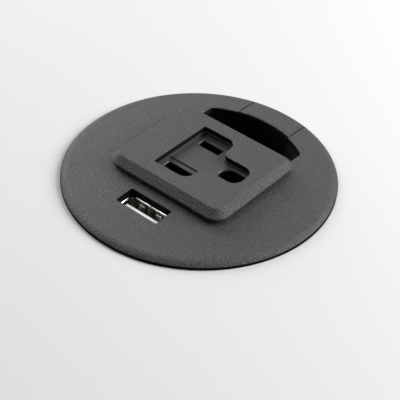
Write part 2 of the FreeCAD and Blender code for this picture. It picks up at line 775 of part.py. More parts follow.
def make_usb_shell():
    """A folded metal shell with four lips in the cover's cut; its far wall has two springs and the seam."""
    body_top = "shell_top - lip_notch"
    outside = prism("shell_outside", "XY_Plane",
                    rectangle("shell_long / 2", "shell_wide / 2", "usb_x", "usb_y", "shell_corner"),
                    "-shell_depth", body_top)
    inside = prism("shell_inside", "XY_Plane",
                   rectangle("shell_long / 2 - shell_wall", "shell_wide / 2 - shell_wall", "usb_x", "usb_y",
                             "shell_corner - shell_wall"), f"-shell_depth - {PAST}", f"shell_top + {PAST}")
    joined = f"{body_top} - shell_wall"
    far, near = "usb_y + shell_wide / 2", "usb_y - shell_wide / 2"
    right, left = "usb_x + shell_long / 2", "usb_x - shell_long / 2"
    lips = [box("lip_far", ("usb_x - far_lip / 2", f"{far} - shell_wall", joined),
                ("usb_x + far_lip / 2", far, "shell_top")),
            box("lip_near", ("usb_x - near_lip / 2", near, joined),
                ("usb_x + near_lip / 2", f"{near} + shell_wall", "shell_top")),
            box("lip_right", (f"{right} - shell_wall", "usb_y - side_lip / 2", joined),
                (right, "usb_y + side_lip / 2", "shell_top")),
            box("lip_left", (left, "usb_y - side_lip / 2", joined),
                (f"{left} + shell_wall", "usb_y + side_lip / 2", "shell_top"))]
    slits, fingers = [], []
    for index, side in enumerate("-+"):
        x = f"usb_x {side} finger_spread / 2"
        slit_half = "(finger_width / 2 + finger_slit)"
        slit_low = (f"{x} - {slit_half}", f"{far} - 2 * shell_wall", "-finger_root + 2 * shell_wall")
        slit_high = (f"{x} + {slit_half}", f"{far} + {PAST}", f"{body_top} - 2 * shell_wall")
        slits.append(box(f"finger_slit_{index}", slit_low, slit_high))
        outer = [(far, "-finger_root"), (f"{far} - finger_reach", "-finger_bend"),
                 (f"{far} - shell_wall / 2", "-finger_tip")]
        inner = [(f"{y} - shell_wall", z) for y, z in outer[::-1]]
        fingers.append(prism(f"finger_{index}", "YZ_Plane", outer + inner, f"{x} - finger_width / 2",
                             f"{x} + finger_width / 2"))
    tube = cut("shell_tube", outside, inside, *slits)
    seam_low = ("usb_x - shell_seam / 2", f"{far} - 2 * shell_wall", f"-shell_depth - {PAST}")
    seam_high = ("usb_x + shell_seam / 2", f"{far} + {PAST}", f"shell_top + {PAST}")
    seam = box("shell_seam_gap", seam_low, seam_high)
    keep(cut("shell_open", fuse("shell_joined", tube, *lips, *fingers), seam), "usb_shell")


STRIP_FACE = "(usb_y - shell_wide / 2 + shell_wall + tab_gap + tab_thick + strip_proud)"
STRIPS = [f"usb_x {side} {pitch} / 2" for side in "-+" for pitch in ("strip_inner", "strip_outer")]


def make_usb_tongue():
    tab_low = "usb_y - shell_wide / 2 + shell_wall + tab_gap"
    tab = box("usb_tab", ("usb_x - tab_long / 2", tab_low, "-shell_depth + fit_gap"),
              ("usb_x + tab_long / 2", f"{tab_low} + tab_thick", "tab_top"))
    base_half = [f"{side} / 2 - shell_wall - fit_gap / 2" for side in ("shell_long", "shell_wide")]
    base = prism("usb_base", "XY_Plane", rectangle(*base_half, "usb_x", "usb_y", "shell_corner - shell_wall"),
                 "-shell_depth + fit_gap", "-shell_depth + fit_gap + tab_base")
    channels = []
    for index, x in enumerate(STRIPS):
        channel_half = "(strip_width / 2 + fit_gap / 2)"
        low = (f"{x} - {channel_half}", f"{STRIP_FACE} - strip_thick - fit_gap / 4", f"-shell_depth - {PAST}")
        high = (f"{x} + {channel_half}", f"{STRIP_FACE} + fit_gap / 2", "tab_top - strip_width")
        channels.append(box(f"usb_channel_{index}", low, high))
    joined = fuse("usb_tongue_solid", tab, base)
    soft = eased("usb_tongue_soft", joined, "tab_bevel", lambda edge: level(edge, "tab_top"), "Part::Chamfer")
    keep(cut("usb_tongue_cut", soft, *channels), "usb_tongue")


def make_usb_contacts():
    """Four strips along the tongue, each bent at the back to meet the board."""
    strips = []
    for index, x in enumerate(STRIPS):
        low_x, high_x = f"{x} - strip_width / 2", f"{x} + strip_width / 2"
        foot = "-shell_depth - strip_width"
        blade = box(f"strip_blade_{index}", (low_x, f"{STRIP_FACE} - strip_thick", foot),
                    (high_x, STRIP_FACE, "tab_top - strip_width - fit_gap"))
        leg = box(f"strip_leg_{index}", (low_x, f"{STRIP_FACE} - strip_thick", foot),
                  (high_x, BOARD_FACE, f"{foot} + strip_thick"))
        strips.append(fuse(f"strip_{index}", blade, leg))
    keep(group("strip_group", *strips), "usb_contacts")


def make_barrel():
    """The tube through the desk, with the wall beside the cable way, ears, pillars and board guides."""
    tube = ring("barrel_tube", "barrel_bore", "thread_radius", "-barrel_depth", 0)
    led = eased("barrel_led", tube, "barrel_lead", lambda edge: level(edge, "-barrel_depth") and (
        spread(edge)[1][0] > number("thread_radius") - 0.01), "Part::Chamfer")
    collar = ring("barrel_collar", "barrel_bore", "barrel_radius", "-plain_length", 0)
    middle = "(barrel_bore + thread_radius) / 2"
    inward = rod("barrel_inward", middle, "-barrel_depth", 0)
    slab = box("barrel_wall_slab", (f"-{middle}", "moon_chord - partition_thick", "-barrel_depth"),
               (middle, "moon_chord", 0))
    wall = common("barrel_wall", inward, slab)
    ears = [rod(f"barrel_ear_{i}", "ear_radius", "-boss_depth - ear_thick", "-boss_depth", x, y)
            for i, (x, y) in enumerate(COVER_SPOTS)]
    pillars = [rod(f"barrel_pillar_{i}", "ear_radius", "-barrel_depth", "-barrel_depth + pillar_height", x, y)
               for i, (x, y) in enumerate(REAR_SPOTS)]
    guide_bottom = f"{BOARD_BOTTOM} - guide_floor"
    guides = []
    for index, side in enumerate(("-", "+")):
        near, away = f"{side}(board_half - guide_grip)", f"{side}barrel_radius"
        low_x, high_x = (away, near) if side == "-" else (near, away)
        guides.append(box(f"barrel_guide_{index}", (low_x, f"{BOARD_FACE} - guide_cheek", guide_bottom),
                          (high_x, f"{SHEET_FACE} + sheet_thick + guide_back", "-guide_top")))
    limit = rod("barrel_guide_limit", middle, "-barrel_depth", 0)
    inner = common("barrel_guides", limit, group("barrel_guide_pair", *guides))
    left, right = "-board_half - fit_gap", "board_half + fit_gap"
    slots = [box("board_slot", (left, f"{BOARD_FACE} - fit_gap / 2", f"{BOARD_BOTTOM} - fit_gap"),
                 (right, f"{BOARD_BACK} + fit_gap / 2", 0)),
             box("sheet_slot", (left, f"{SHEET_FACE} - fit_gap", f"{SHEET_BOTTOM} - fit_gap"),
                 (right, f"{SHEET_FACE} + sheet_thick + fit_gap", 0))]
    gate_slots = []
    for name, half, outer in (("web", "web_half", "barrel_bore + web_thick + slide_gap"),
                              ("key", "key_half", f"barrel_radius + {PAST}")):
        slot_low = (f"-{half} - slide_gap", "moon_chord + moon_chord_round", "-web_depth - 2 * slide_gap")
        side = box(f"barrel_{name}_side", slot_low, (f"{half} + slide_gap", "flange_radius", PAST))
        limit = rod(f"barrel_{name}_limit", outer, "-barrel_depth", PAST)
        gate_slots.append(common(f"barrel_{name}_slot", side, limit))
    holes = [screw_holes("ear_holes", COVER_SPOTS, f"-boss_depth - ear_thick - {PAST}", 0),
             screw_holes("pillar_pilots", REAR_SPOTS, f"-barrel_depth - {PAST}",
                         f"{COLUMN_SEAT} + screw_length + tip_room")]
    solid = fuse("barrel_solid", led, collar, wall, *ears, *pillars, inner)
    keep(cut("barrel_cut", solid, *slots, *gate_slots, *holes), "barrel")


def make_charger_board():
    board = box("board_plate", ("-board_half", BOARD_FACE, BOARD_BOTTOM),
                ("board_half", BOARD_BACK, "-board_top"))
    keep(board, "charger_board")
    plate = box("sheet_plate", ("-board_half", SHEET_FACE, SHEET_BOTTOM),
                ("board_half", f"{SHEET_FACE} + sheet_thick", "-board_top"))
    keep(plate, "insulator_sheet")


def make_transformer():
    """A ferrite frame round a taped winding that stands proud of it on both sides."""
    low_x, high_x = "transformer_x - transformer_long / 2", "transformer_x + transformer_long / 2"
    bottom, top = "(-transformer_top - transformer_high)", "-transformer_top"
    front = f"{BOARD_FACE} - transformer_deep"
    frame = box("transformer_frame", (low_x, f"{front} + winding_proud", bottom),
                (high_x, f"{BOARD_FACE} - winding_proud", top))
    legs = box("transformer_window", (f"{low_x} + yoke_width", front, f"{bottom} + yoke_width"),
               (f"{high_x} - yoke_width", BOARD_FACE, f"{top} - yoke_width"))
    winding = prism("transformer_winding", "XY_Plane",
                    rectangle("winding_long / 2", "transformer_deep / 2", "transformer_x",
                              f"{BOARD_FACE} - transformer_deep / 2", "winding_round"),
                    f"{bottom} + yoke_width", f"{top} - yoke_width")
    keep(fuse("transformer_joined", cut("transformer_core", frame, legs), winding), "transformer")


def make_capacitors():
    """Round cans beside the board, each on two bent leads, with a rolled groove near the foot."""
    for name, x, radius, high in (("input", "input_x", "input_radius", "input_high"),
                                  ("output", "output_x", "output_radius", "output_high")):
        y = f"{BOARD_FACE} - can_gap - {radius}"
        bottom = f"(-can_top - {high})"
        can = eased(f"{name}_can_soft", rod(f"{name}_can", radius, bottom, "-can_top", x, y), "can_gap",
                    lambda edge: not edge.BoundBox.ZLength > 1)
        groove_low = f"{bottom} + groove_rise"
        groove = ring(f"{name}_groove", f"{radius} - can_gap", f"{radius} + {PAST}", groove_low,
                      f"{groove_low} + groove_width", x, y)
        leads = []
        for index, side in enumerate("-+"):
            lead_x = f"{x} {side} {radius} / 2"
            low = (f"{lead_x} - can_lead", f"{y} - can_lead", f"{bottom} - lead_drop")
            lead_high = (f"{lead_x} + can_lead", f"{y} + can_lead", bottom)
            foot_high = (f"{lead_x} + can_lead", BOARD_FACE, f"{bottom} - lead_drop + 2 * can_lead")
            leads.append(box(f"{name}_lead_{index}", low, lead_high))
            leads.append(box(f"{name}_foot_{index}", low, foot_high))
        keep(fuse(f"{name}_joined", cut(f"{name}_grooved", can, groove), *leads), f"{name}_capacitor")


def make_board_chips():
    """Four chips on the side of the board that faces the transformer's back."""
    chips = []
    for name in ("bridge", "control", "switch", "port"):
        low = (f"{name}_x - {name}_wide / 2", BOARD_BACK, f"-{name}_down - {name}_high / 2")
        high = (f"{name}_x + {name}_wide / 2", f"{BOARD_BACK} + chip_thick", f"{name}_high / 2 - {name}_down")
        chips.append(box(f"chip_{name}", low, high))
    keep(group("chip_group", *chips), "board_chips")


def make_lead(name, y, end_x, drop):
    """A push-on terminal over the contact's tongue, and its wire, bent down and up again to the board."""
    top = f"{TONGUE_END} + sleeve_high"
    half_x, half_y = "(clip_width / 2 + fit_gap)", "(tongue_thick / 2 + fit_gap)"
    floor = f"{TONGUE_END} - fit_gap"
    inner = box(f"{name}_sleeve_slot", (f"blade_x - {half_x}", f"{y} - {half_y}", floor),
                (f"blade_x + {half_x}", f"{y} + {half_y}", f"{top} + {PAST}"))
    half_x, half_y = f"({half_x} + sleeve_wall)", f"({half_y} + sleeve_wall)"
    outer = box(f"{name}_sleeve", (f"blade_x - {half_x}", f"{y} - {half_y}", f"{floor} - sleeve_wall"),
                (f"blade_x + {half_x}", f"{y} + {half_y}", top))
    crimp_low = f"{floor} - sleeve_wall - crimp_high"
    crimp = rod(f"{name}_crimp", "crimp_radius", crimp_low, f"{floor} - sleeve_wall / 2", "blade_x", y)
    low, wire_end = f"-barrel_depth - {drop}", "wire_rise - barrel_depth"
    board_side = f"{BOARD_BACK} + wire_radius"
    route = [("blade_x", y, f"{crimp_low} + crimp_high / 2"), ("blade_x", y, low),
             (end_x, board_side, low), (end_x, board_side, wire_end)]
    points = [FreeCAD.Vector(*map(number, spot)) for spot in route]
    edges, last = [], points[0]
    for before, here, after in zip(points, points[1:], points[2:]):
        shorter = min((here - before).Length, (after - here).Length)
        way_in, way_out = (here - before).normalize(), (after - here).normalize()
        trim = 0.45 * shorter
        start, end = here - way_in * trim, here + way_out * trim
        radius = trim / math.tan(way_in.getAngle(way_out) / 2)
        print(f"{name} wire bend radius {radius:.2f} mm")
        centre = here + (way_out - way_in).normalize() * math.hypot(radius, trim)
        edges += [Part.LineSegment(last, start).toShape(),
                  Part.Arc(start, centre + (here - centre).normalize() * radius, end).toShape()]
        last = end
    edges.append(Part.LineSegment(last, points[-1]).toShape())
    path = Part.Wire(edges)
    section = Part.Wire(Part.makeCircle(number("wire_radius"), points[0], FreeCAD.Vector(0, 0, 1)))
    wire = doc.addObject("Part::Feature", f"{name}_wire")
    wire.Shape = path.makePipeShell([section], True, False)
    wire.Placement = FreeCAD.Placement()
    expected = math.pi * number("wire_radius") ** 2 * path.Length
    share = wire.Shape.Volume / expected
    print(f"{name} wire {path.Length:.1f} mm long, volume over section times length {share:.4f}")
    keep(fuse(f"{name}_lead_joined", cut(f"{name}_terminal", outer, inner), crimp, wire), f"{name}_lead")


def make_rear_housing():
    """A D-shaped cup that closes the chamber, with a rim that enters the barrel and three screw columns."""
    flat = "moon_chord"
    cup = half_disc("rear_cup", "rear_radius", flat, REAR_BOTTOM, "-barrel_depth")
    hollow = half_disc("rear_hollow", "rear_radius - rear_wall", f"{flat} - rear_wall",
                       f"{REAR_BOTTOM} + rear_wall", f"-barrel_depth + {PAST}")
    rim_radius, rim_flat = "(barrel_bore - 2 * slide_gap)", "(moon_chord - partition_thick - slide_gap)"
    rim_bottom, rim_top = "-barrel_depth - rim_rise", "-barrel_depth + rim_rise"
    rim = cut("rear_rim", half_disc("rear_rim_outside", rim_radius, rim_flat, rim_bottom, rim_top),
              half_disc("rear_rim_inside", f"{rim_radius} - rim_thick", f"{rim_flat} - rim_thick",
                        f"{rim_bottom} - {PAST}", f"{rim_top} + {PAST}"))
    column_radius = "head_radius + 2 * fit_gap + column_wall"
    columns = [rod(f"rear_column_{i}", column_radius, REAR_BOTTOM, "-barrel_depth", x, y)
               for i, (x, y) in enumerate(REAR_SPOTS)]
    room = [rod(f"rear_room_{i}", "ear_radius + 2 * slide_gap", "-barrel_depth", f"{rim_top} + {PAST}", x, y)
            for i, (x, y) in enumerate(REAR_SPOTS)]
    sinks = [rod(f"rear_sink_{i}", "head_radius + 2 * fit_gap", f"{REAR_BOTTOM} - {PAST}", COLUMN_SEAT, x, y)
             for i, (x, y) in enumerate(REAR_SPOTS)]
    inlet = rod("rear_inlet", "gland_radius + fit_gap", f"{REAR_BOTTOM} - {PAST}",
                f"{REAR_BOTTOM} + 2 * rear_wall", 0, "gland_y")
    holes = screw_holes("rear_holes", REAR_SPOTS, REAR_BOTTOM, f"-barrel_depth + {PAST}")
    solid = fuse("rear_solid", cut("rear_shell", cup, hollow), rim, *columns)
    keep(cut("rear_cut", solid, *room, *sinks, inlet, holes), "rear_housing")


def make_gland():
    inside = f"({REAR_BOTTOM} + rear_wall)"
    stub_top = f"{inside} + locknut_high + stub_proud"
    stub = rod("gland_tube", "gland_radius", GLAND_BOTTOM, stub_top, 0, "gland_y")
    collar = hexagon("gland_hexagon", "gland_hex", f"{REAR_BOTTOM} - gland_collar", REAR_BOTTOM, 0, "gland_y")
    bore = rod("gland_through", "gland_bore + 2 * fit_gap", f"{GLAND_BOTTOM} - {PAST}", "0", 0, "gland_y")
    pocket = rod("gland_pocket", "gland_bore + seal_wall + fit_gap", f"{GLAND_BOTTOM} - {PAST}",
                 f"{GLAND_BOTTOM} + seal_high", 0, "gland_y")
    keep(cut("gland_cut", fuse("gland_solid", stub, collar), bore, pocket), "inlet_gland")
    nut = hexagon("locknut_hexagon", "gland_hex", inside, f"{inside} + locknut_high", 0, "gland_y")
    nut_hole = rod("locknut_hole", "gland_radius + fit_gap", f"{inside} - {PAST}",
                   f"{inside} + locknut_high + {PAST}", 0, "gland_y")
    keep(cut("locknut_cut", nut, nut_hole), "gland_locknut")
    sleeve = ring("seal_ring", "gland_bore", "gland_bore + seal_wall", GLAND_BOTTOM,
                  f"{GLAND_BOTTOM} + seal_high", 0, "gland_y")
    keep(sleeve, "gland_seal")
    cap_top = f"{REAR_BOTTOM} - gland_collar - 2 * fit_gap"
    shoulder = f"({GLAND_BOTTOM} - fit_gap)"
    cap_bottom = f"{shoulder} - cap_lip"
    grip = hexagon("cap_grip", "gland_hex", f"{shoulder} + cap_step", cap_top, 0, "gland_y")
    plug = rod("cap_nose", "cap_radius", cap_bottom, f"{shoulder} + cap_lip", 0, "gland_y")
    nose = eased("cap_nose_soft", plug, "cap_round", lambda edge: level(edge, cap_bottom))
    cap_bore = rod("cap_bore", "gland_radius + fit_gap", shoulder, f"{cap_top} + {PAST}", 0, "gland_y")
    mouth = rod("cap_mouth_hole", "cap_mouth", f"{cap_bottom} - {PAST}", f"{cap_top} + {PAST}", 0, "gland_y")
    keep(cut("cap_cut", fuse("cap_solid", grip, nose), cap_bore, mouth), "gland_cap")


def make_screws():
    sets = {"cover_screws": (COVER_SPOTS, "-boss_depth - ear_thick", "rim_height - tip_room"),
            "housing_screws": (REAR_SPOTS, COLUMN_SEAT, f"{COLUMN_SEAT} + screw_length"),
            "carrier_screws": (CARRIER_SPOTS, "-carrier_depth", f"{PLATE_BOTTOM} + screw_bite")}
    for label, (spots, seat, tip) in sets.items():
        one_by_one = [screw(f"{label}_{i}", x, y, seat, tip) for i, (x, y) in enumerate(spots)]
        keep(group(f"{label}_group", *one_by_one), label)


def make_sealing_ring():
    full = ring("seal_full", "seal_inner + fit_gap", "seal_outer - fit_gap", 0, "seal_thick - fit_gap")
    gap = box("seal_gap", ("-gate_half - 2 * gate_gap - fit_gap", 0, -PAST),
              ("gate_half + 2 * gate_gap + fit_gap", "flange_radius", "face_height"))
    keep(cut("seal_open", full, gap), "sealing_ring")


def make_clamp():
    hole = "(barrel_radius + washer_gap)"
    keep(ring("washer_ring", hole, f"{hole} + washer_width", WASHER_BOTTOM, "-desk_thick"), "clamp_washer")
    bottom = f"({WASHER_BOTTOM} - nut_height)"
    bore = "(thread_radius + nut_gap)"
    body = ring("nut_ring", bore, f"{bore} + nut_wall", bottom, WASHER_BOTTOM)
    led = eased("nut_led", body, "barrel_lead", lambda edge: level(edge, bottom), "Part::Chamfer")
    reach = f"({bore} + nut_wall + scallop_radius - scallop_depth)"
    scallops = []
    for index in range(int(number("nut_lobes"))):
        angle = f"{index} * 360 / nut_lobes"
        x, y = f"{reach} * cos({angle})", f"{reach} * sin({angle})"
        scallops.append(rod(f"nut_scallop_{index}", "scallop_radius", f"{bottom} - {PAST}",
                            f"{WASHER_BOTTOM} - nut_collar", x, y))
    keep(cut("nut_cut", led, group("nut_scallops", *scallops)), "ring_nut")


make_top_cover()
make_cord_gate()
make_outlet_bezel()
make_outlet_face()
make_contact_carrier()
make_contacts()
make_usb_shell()
make_usb_tongue()
make_usb_contacts()
make_barrel()
make_charger_board()
make_transformer()
make_capacitors()
make_board_chips()
make_lead("line", LINE_Y, "line_pad_x", "line_drop")
make_lead("neutral", NEUTRAL_Y, "neutral_pad_x", "neutral_drop")
make_rear_housing()
make_gland()
make_screws()
make_sealing_ring()
make_clamp()

doc.recompute()
for thing in doc.Objects:
    if {"Invalid", "Error"} & set(thing.State):
        raise RuntimeError(f"{thing.Name} ({thing.Label}) failed: {thing.State}")
for thing in parts:
    if thing.Shape.isNull() or not thing.Shape.isValid():
        raise RuntimeError(f"{thing.Label} has no valid shape")
os.makedirs("parts", exist_ok=True)
for thing in parts:
    thing.Shape.exportStep(f"parts/{thing.Label}.step")
    limits = thing.Shape.BoundBox
    print(f"{thing.Label}: {len(thing.Shape.Solids)} solid(s), {thing.Shape.Volume:.1f} mm3, "
          f"z {limits.ZMin:.2f} to {limits.ZMax:.2f}")
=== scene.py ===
# %% [markdown]
# In-desk power module
# This module sits in a round hole in a desk. A shallow domed cover lies on the desk top. It carries a raised
# block with one earthed outlet, a USB port, and a half-moon opening for cables with a small gate in the rim.
# Below the desk hang the threaded barrel, the clamp washer and its ring nut, and the housing with the cord
# inlet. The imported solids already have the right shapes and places, so they are loaded first as a fixed
# frame. Each later cell gives them a finish, or builds a finer piece over one of them.

# %% Load the frame
import json
import math

import bmesh
import bpy
from mathutils import Matrix, Vector


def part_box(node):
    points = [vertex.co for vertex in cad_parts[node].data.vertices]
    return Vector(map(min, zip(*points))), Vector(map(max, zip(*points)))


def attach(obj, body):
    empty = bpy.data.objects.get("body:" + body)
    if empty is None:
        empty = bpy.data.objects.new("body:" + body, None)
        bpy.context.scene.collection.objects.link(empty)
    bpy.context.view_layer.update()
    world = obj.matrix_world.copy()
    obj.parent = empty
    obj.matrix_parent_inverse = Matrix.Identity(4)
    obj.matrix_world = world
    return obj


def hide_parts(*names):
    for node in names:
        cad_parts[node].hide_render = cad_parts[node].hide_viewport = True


MM = 0.001


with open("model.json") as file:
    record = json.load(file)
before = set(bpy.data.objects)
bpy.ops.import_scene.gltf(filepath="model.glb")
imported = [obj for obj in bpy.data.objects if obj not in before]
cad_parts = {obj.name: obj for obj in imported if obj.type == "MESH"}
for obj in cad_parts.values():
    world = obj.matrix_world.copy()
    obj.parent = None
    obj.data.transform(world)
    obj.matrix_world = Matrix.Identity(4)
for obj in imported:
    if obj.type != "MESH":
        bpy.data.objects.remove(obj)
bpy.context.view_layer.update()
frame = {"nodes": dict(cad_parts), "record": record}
nodes = frame["nodes"]

# %% [markdown]
# Camera
# The photograph looks down on the cover from the front right, about 40 degrees above the desk, with a slight
# roll. A long lens at 30 cm keeps the ellipse of the cover nearly free of perspective. The camera is placed
# from the point it aims at, so each value can be read as something a photographer would set.

# %% Camera
AIM = Vector((6.58, -7.30, 0)) * MM
AZIMUTH, ELEVATION, ROLL = 39.37, 40.07, 2.28  # in degrees
DISTANCE = 299.52 * MM
FOCAL_PIXELS, PICTURE_PIXELS, SENSOR_WIDTH = 1196.91, 400, 36


def direction(azimuth, elevation):
    """The way out to an azimuth and an elevation; azimuth 0 is on the -Y side and 90 on the +X side."""
    around, above = math.radians(azimuth), math.radians(elevation)
    flat = math.cos(above)
    return Vector((math.sin(around) * flat, -math.cos(around) * flat, math.sin(above)))


back = direction(AZIMUTH, ELEVATION)
level_right = (-back).cross(Vector((0, 0, 1))).normalized()
level_up = level_right.cross(-back)
roll = math.radians(ROLL)
right = level_right * math.cos(roll) + level_up * math.sin(roll)
up = level_up * math.cos(roll) - level_right * math.sin(roll)
turned = Matrix((right, up, back)).transposed().to_4x4()

camera = bpy.data.objects.new("camera", bpy.data.cameras.new("camera"))
camera.data.lens = SENSOR_WIDTH * FOCAL_PIXELS / PICTURE_PIXELS
camera.data.sensor_width = SENSOR_WIDTH
camera.data.clip_start, camera.data.clip_end = 0.01, 10
camera.matrix_world = Matrix.Translation(AIM + back * DISTANCE) @ turned
bpy.context.scene.collection.objects.link(camera)
bpy.context.scene.camera = camera
bpy.context.scene.view_settings.view_transform = "Standard"
print("lens", round(camera.data.lens, 2), "mm at", round(DISTANCE / MM, 1), "mm")

# %% [markdown]
# Mesh helper
# Every new piece starts as a bmesh. This helper writes a finished bmesh to an object that sits at the origin,
# unturned, as the loaded solids do. Merging doubles and recalculating normals there means that spin can be
# used freely. Edges flatter than the given angle are shaded smooth, sharper ones stay crisp.

# %% Mesh helper
MERGE = 0.002 * MM
SMOOTH_ANGLE = math.radians(35)


def only(geometry, kind):
    """The vertices, edges or faces among what an operator made."""
    return [item for item in geometry if isinstance(item, getattr(bmesh.types, "BM" + kind))]


def cut_away(mesh, point, normal):
    """Cuts off what lies beyond a plane."""
    everything = mesh.verts[:] + mesh.edges[:] + mesh.faces[:]
    bmesh.ops.bisect_plane(mesh, geom=everything, plane_co=point, plane_no=normal, clear_outer=True)


def finish_piece(mesh, name, recalculate=True):
    """Writes a mesh to an object and frees it; recalculate turns its faces outward."""
    bmesh.ops.remove_doubles(mesh, verts=mesh.verts, dist=MERGE)
    if recalculate:
        bmesh.ops.recalc_face_normals(mesh, faces=mesh.faces)
    for face in mesh.faces:
        face.smooth = True
    for edge in mesh.edges:
        edge.smooth = not (edge.is_manifold and edge.calc_face_angle(0) > SMOOTH_ANGLE)
    data = bpy.data.meshes.new(name)
    mesh.to_mesh(data)
    mesh.free()
    piece = bpy.data.objects.new(name, data)
    bpy.context.scene.collection.objects.link(piece)
    print(name, "has", len(data.polygons), "faces")
    return piece


# %% [markdown]
# Desk top
# The cover hides the hole's edge and lies on a plain surface. A thin pale plate stands in for the desk, cut a
# little larger than the picture, so that the pieces below it can be seen in low views. It has the module's
# 60 mm hole, so cables could run through the half-moon.

# %% Desk top
DESK_HOLE, DESK_THICK = 30 * MM, 1.5 * MM
DESK_NEAR, DESK_FAR, DESK_SIDE = 92 * MM, 112 * MM, 74 * MM
DESK_SPREAD = 7  # how many times the hole's radius the plate reaches before it is cut

mesh = bmesh.new()
bmesh.ops.create_circle(mesh, segments=128, radius=DESK_HOLE)
outward = bmesh.ops.extrude_edge_only(mesh, edges=mesh.edges[:])
bmesh.ops.scale(mesh, vec=(DESK_SPREAD, DESK_SPREAD, 1), verts=only(outward["geom"], "Vert"))
toward = Vector((back.x, back.y, 0)).normalized()
sides = (toward, DESK_NEAR), (-toward, DESK_FAR), (level_right, DESK_SIDE), (-level_right, DESK_SIDE)
for normal, reach in sides:
    cut_away(mesh, normal * reach, normal)
lower = bmesh.ops.extrude_face_region(mesh, geom=mesh.faces[:])
bmesh.ops.translate(mesh, vec=(0, 0, -DESK_THICK), verts=only(lower["geom"], "Vert"))
desk = finish_piece(mesh, "desk_top")

# %% [markdown]
# Shader maths
# A material is a graph of nodes, which is slow to read as code. One small class wraps a socket, so that
# 1 - mask or height * 0.2 adds the Math nodes by itself.

# %% Shader maths
class Link:
    """A number, colour or vector in a material."""

    def __init__(self, finish, socket):
        self.finish, self.socket = finish, socket

    def math(self, operation, *others):
        inputs = dict(enumerate((self, *others)))
        return self.finish.node("Math", {"operation": operation}, inputs)

    def __add__(self, other):
        return self.math("ADD", other)

    def __sub__(self, other):
        return self.math("SUBTRACT", other)

    def __mul__(self, other):
        return self.math("MULTIPLY", other)

    def __gt__(self, other):
        return self.math("GREATER_THAN", other)

    def __lt__(self, other):
        return self.math("LESS_THAN", other)

    def __rsub__(self, other):
        return self.finish.node("Math", {"operation": "SUBTRACT"}, {0: other, 1: self})

    __radd__, __rmul__ = __add__, __mul__

    def clamp(self):
        return self.finish.node("Clamp", {}, {"Value": self})

    def smooth(self, low, high):
        """0 below low, 1 above high and an even curve between."""
        settings = {"interpolation_type": "SMOOTHSTEP"}
        return self.finish.node("MapRange", settings, {"Value": self, "From Min": low, "From Max": high})


# %% [markdown]
# Finishes
# The record gives every solid a material slot, and one object of this class makes the material for a slot. It
# starts from the principled shader, which does for plastic and metal alike, and reads each place in
# millimetres, so that grain and marks have a real size. Every node but the shaders comes from one method,
# which takes a node's type, its settings and the values or links of its inputs.

# %% Finishes
class Finish:
    """A material with one principled shader, for one slot of the record."""

    made = {}

    def __init__(self, slot, **fixed):
        material = bpy.data.materials.new(slot)
        material.use_nodes = True
        self.material, self.tree = material, material.node_tree
        self.shader = self.tree.nodes["Principled BSDF"]
        for name, value in fixed.items():
            self.shader.inputs[name.replace("_", " ")].default_value = value
        place = self.node("TexCoord", {}, {}, "Object")
        self.place = self.node("VectorMath", {"operation": "SCALE"}, {0: place, "Scale": 1 / MM})
        self.x, self.y, self.z = (self.node("SeparateXYZ", {}, {0: self.place}, axis) for axis in "XYZ")
        Finish.made[slot] = self

    def node(self, kind, settings, inputs, output=0):
        """Adds a node and gives one of its outputs; an input is a value or a link."""
        node = self.tree.nodes.new("ShaderNode" + kind)
        for name, value in settings.items():
            setattr(node, name, value)
        for name, value in inputs.items():
            if isinstance(value, Link):
                self.tree.links.new(value.socket, node.inputs[name])
            else:
                node.inputs[name].default_value = value
        return Link(self, node.outputs[output])

    def noise(self, size, detail=2, roughness=0.5, place=None):
        """Noise from 0 to 1 whose lumps are about one size across, in millimetres."""
        inputs = {"Vector": place or self.place, "Scale": 1 / size, "Detail": detail, "Roughness": roughness}
        return self.node("TexNoise", {}, inputs)

    def within(self, low, high):
        """1 inside a box with these corners, in millimetres, and 0 outside."""
        axes = zip((self.x, self.y, self.z), low, high)
        along_x, along_y, along_z = ((axis > bottom) * (axis < top) for axis, bottom, top in axes)
        return along_x * along_y * along_z

    def low_rim(self, radius, top):
        """1 beyond a radius and below a height, in millimetres, and 0 elsewhere."""
        return (self.x * self.x + self.y * self.y > radius ** 2) * (self.z < top)

    def stretched(self, x, y, z):
        """The place, squeezed along each axis, for marks that run one way."""
        return self.node("VectorMath", {"operation": "MULTIPLY"}, {0: self.place, 1: (x, y, z)})

    def mix(self, factor, low, high):
        """A colour from low, where the factor is 0, to high, where it is 1."""
        low, high = ((*value, 1) if isinstance(value, tuple) else value for value in (low, high))
        inputs = {"Factor": factor, 6: low, 7: high}
        return self.node("Mix", {"data_type": "RGBA"}, inputs, 2)

    def feed(self, **inputs):
        """Links values to the inputs of the shader."""
        for name, value in inputs.items():
            self.tree.links.new(value.socket, self.shader.inputs[name.replace("_", " ")])

    def blend(self, mask, colour, roughness, specular):
        """Shows a second, plain shader where the mask is 1."""
        plain = self.tree.nodes.new("ShaderNodeBsdfPrincipled")
        plain.inputs["Base Color"].default_value = (*colour, 1)
        plain.inputs["Roughness"].default_value = roughness
        plain.inputs["Specular IOR Level"].default_value = specular
        shaders = {0: mask, 1: Link(self, self.shader.outputs[0]), 2: Link(self, plain.outputs[0])}
        both = self.node("MixShader", {}, shaders)
        self.tree.links.new(both.socket, self.tree.nodes["Material Output"].inputs["Surface"])

    def bump(self, height, depth, edge=0.12):
        """Roughens the surface by a depth and rounds its sharp edges by a radius, both in millimetres."""
        rounded = self.node("Bevel", {"samples": 6}, {"Radius": edge * MM})
        inputs = {"Distance": depth * MM, "Height": height, "Normal": rounded}
        self.feed(Normal=self.node("Bump", {}, inputs))


def toned(colour, factor):
    """A darker or lighter colour."""
    return tuple(c * factor for c in colour)


